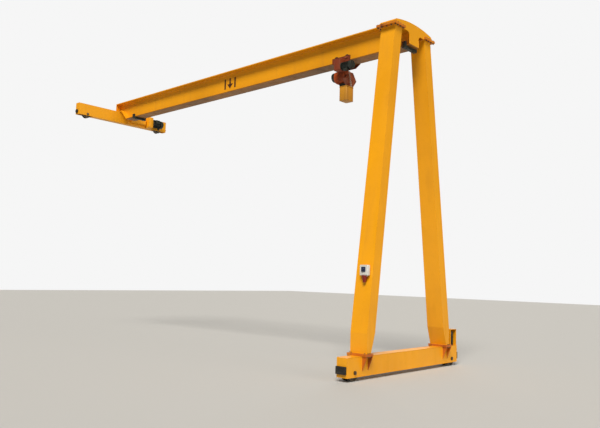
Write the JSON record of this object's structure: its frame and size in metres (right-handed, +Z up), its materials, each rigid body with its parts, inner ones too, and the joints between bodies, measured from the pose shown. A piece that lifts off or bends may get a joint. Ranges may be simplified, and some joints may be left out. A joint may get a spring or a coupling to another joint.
{
  "type": "single-girder semi-gantry crane",
  "caption": "Semi-gantry crane: an H-section girder on an A-legged floor carriage at one end and a carriage for a raised wall rail at the other, with a chain hoist on a trolley.",
  "frame": {"origin": "on the floor rail's running surface, under the middle of the floor beam", "axes": "+X along the girder towards the legs, +Y along the rails, +Z up"},
  "size_m": [9.632, 3.48, 6.26],
  "materials": {
    "crane_paint": "semi-gloss yellow-orange enamel on welded plate",
    "buffer_rubber": "matt black rubber",
    "wheel_steel": "rolled and slightly oiled steel",
    "trolley_paint": "semi-gloss red-brown enamel",
    "hoist_paint": "semi-gloss orange enamel on castings",
    "motor_paint": "dark green-black enamel on castings",
    "container_paint": "satin yellow enamel on sheet",
    "hook_paint": "yellow enamel",
    "hook_steel": "forged steel",
    "switch_shell": "light grey powder coat",
    "isolator_blue": "dark blue moulded plastic",
    "beacon_red": "dark red moulded plastic"
  },
  "bodies": {
    "frame": {"floor_axles": "wheel_steel", "floor_beam_plates": "crane_paint", "floor_beam_webs": "crane_paint", "floor_buffers": "buffer_rubber", "floor_drive_guard": "crane_paint", "floor_drive_motor": "motor_paint", "floor_end_plates": "crane_paint", "foot_brackets": "crane_paint", "girder_bottom_flange": "crane_paint", "girder_end_plate": "crane_paint", "girder_haunch": "crane_paint", "girder_seat_flange": "crane_paint", "girder_top_flange": "crane_paint", "girder_web": "crane_paint", "leg_far": "crane_paint", "leg_foot_flanges": "crane_paint", "leg_near": "crane_paint", "leg_top_flanges": "crane_paint", "saddle_box": "crane_paint", "saddle_flanges": "crane_paint", "saddle_front_plate": "crane_paint", "switch_box": "switch_shell", "switch_bracket": "crane_paint", "switch_isolator": "isolator_blue", "trolley_stop_bars": "motor_paint", "trolley_stop_rubbers": "buffer_rubber", "upper_axles": "wheel_steel", "upper_beam_plates": "crane_paint", "upper_beam_webs": "crane_paint", "upper_buffers": "buffer_rubber", "upper_end_plates": "crane_paint", "upper_gear_case": "crane_paint", "upper_seat_plate": "crane_paint", "upper_terminal_box": "crane_paint", "upper_travel_motor": "motor_paint", "warning_beacon": "beacon_red"},
    "floor_wheel_near": {"floor_wheel_near": "wheel_steel"},
    "floor_wheel_far": {"floor_wheel_far": "wheel_steel"},
    "upper_wheel_near": {"upper_wheel_near": "wheel_steel"},
    "upper_wheel_far": {"upper_wheel_far": "wheel_steel"},
    "trolley": {"trolley_side_plates": "trolley_paint", "trolley_pins": "wheel_steel", "travel_gear_case": "trolley_paint", "travel_motor": "motor_paint", "hoist_housing": "hoist_paint", "hoist_lug": "trolley_paint", "hoist_brake_cover": "motor_paint", "hoist_gear_case": "hoist_paint", "chain_guide": "trolley_paint", "load_chain": "wheel_steel", "chain_container": "container_paint", "chain_container_hanger": "container_paint"},
    "hook": {"hook_block": "hook_paint", "load_hook": "hook_steel"},
    "trolley_wheel_near_front": {"trolley_wheel_near_front": "wheel_steel"},
    "trolley_wheel_near_rear": {"trolley_wheel_near_rear": "wheel_steel"},
    "trolley_wheel_far_front": {"trolley_wheel_far_front": "wheel_steel"},
    "trolley_wheel_far_rear": {"trolley_wheel_far_rear": "wheel_steel"}
  },
  "joints": [
    {"name": "floor_wheel_near_spin", "type": "hinge", "parent": "frame", "child": "floor_wheel_near", "pos_m": [0, -1.5, 0.12], "axis": [1, 0, 0], "continuous": true},
    {"name": "upper_wheel_near_spin", "type": "hinge", "parent": "frame", "child": "upper_wheel_near", "pos_m": [-9.27, -1.12, 5.725], "axis": [1, 0, 0], "continuous": true},
    {"name": "floor_wheel_far_spin", "type": "hinge", "parent": "frame", "child": "floor_wheel_far", "pos_m": [0, 1.5, 0.12], "axis": [1, 0, 0], "continuous": true},
    {"name": "upper_wheel_far_spin", "type": "hinge", "parent": "frame", "child": "upper_wheel_far", "pos_m": [-9.27, 1.12, 5.725], "axis": [1, 0, 0], "continuous": true},
    {"name": "trolley_travel", "type": "slide", "parent": "frame", "child": "trolley", "axis": [1, 0, 0], "range_m": [-6.84, 1.19]},
    {"name": "trolley_wheel_near_front_spin", "type": "hinge", "parent": "trolley", "child": "trolley_wheel_near_front", "pos_m": [-1.25, -0.12, 5.8155], "axis": [0, 1, 0], "continuous": true},
    {"name": "trolley_wheel_near_rear_spin", "type": "hinge", "parent": "trolley", "child": "trolley_wheel_near_rear", "pos_m": [-1.51, -0.12, 5.8155], "axis": [0, 1, 0], "continuous": true},
    {"name": "trolley_wheel_far_front_spin", "type": "hinge", "parent": "trolley", "child": "trolley_wheel_far_front", "pos_m": [-1.25, 0.12, 5.8155], "axis": [0, 1, 0], "continuous": true},
    {"name": "trolley_wheel_far_rear_spin", "type": "hinge", "parent": "trolley", "child": "trolley_wheel_far_rear", "pos_m": [-1.51, 0.12, 5.8155], "axis": [0, 1, 0], "continuous": true},
    {"name": "hook_hoist", "type": "slide", "parent": "trolley", "child": "hook", "axis": [0, 0, 1], "range_m": [-4.8, 0], "deforming": ["load_chain"]}
  ],
  "couplings": [
    {"joint": "trolley_wheel_near_front_spin", "follows": "trolley_travel", "rad_per_m": 20},
    {"joint": "trolley_wheel_near_rear_spin", "follows": "trolley_travel", "rad_per_m": 20},
    {"joint": "trolley_wheel_far_front_spin", "follows": "trolley_travel", "rad_per_m": 20},
    {"joint": "trolley_wheel_far_rear_spin", "follows": "trolley_travel", "rad_per_m": 20}
  ]
}
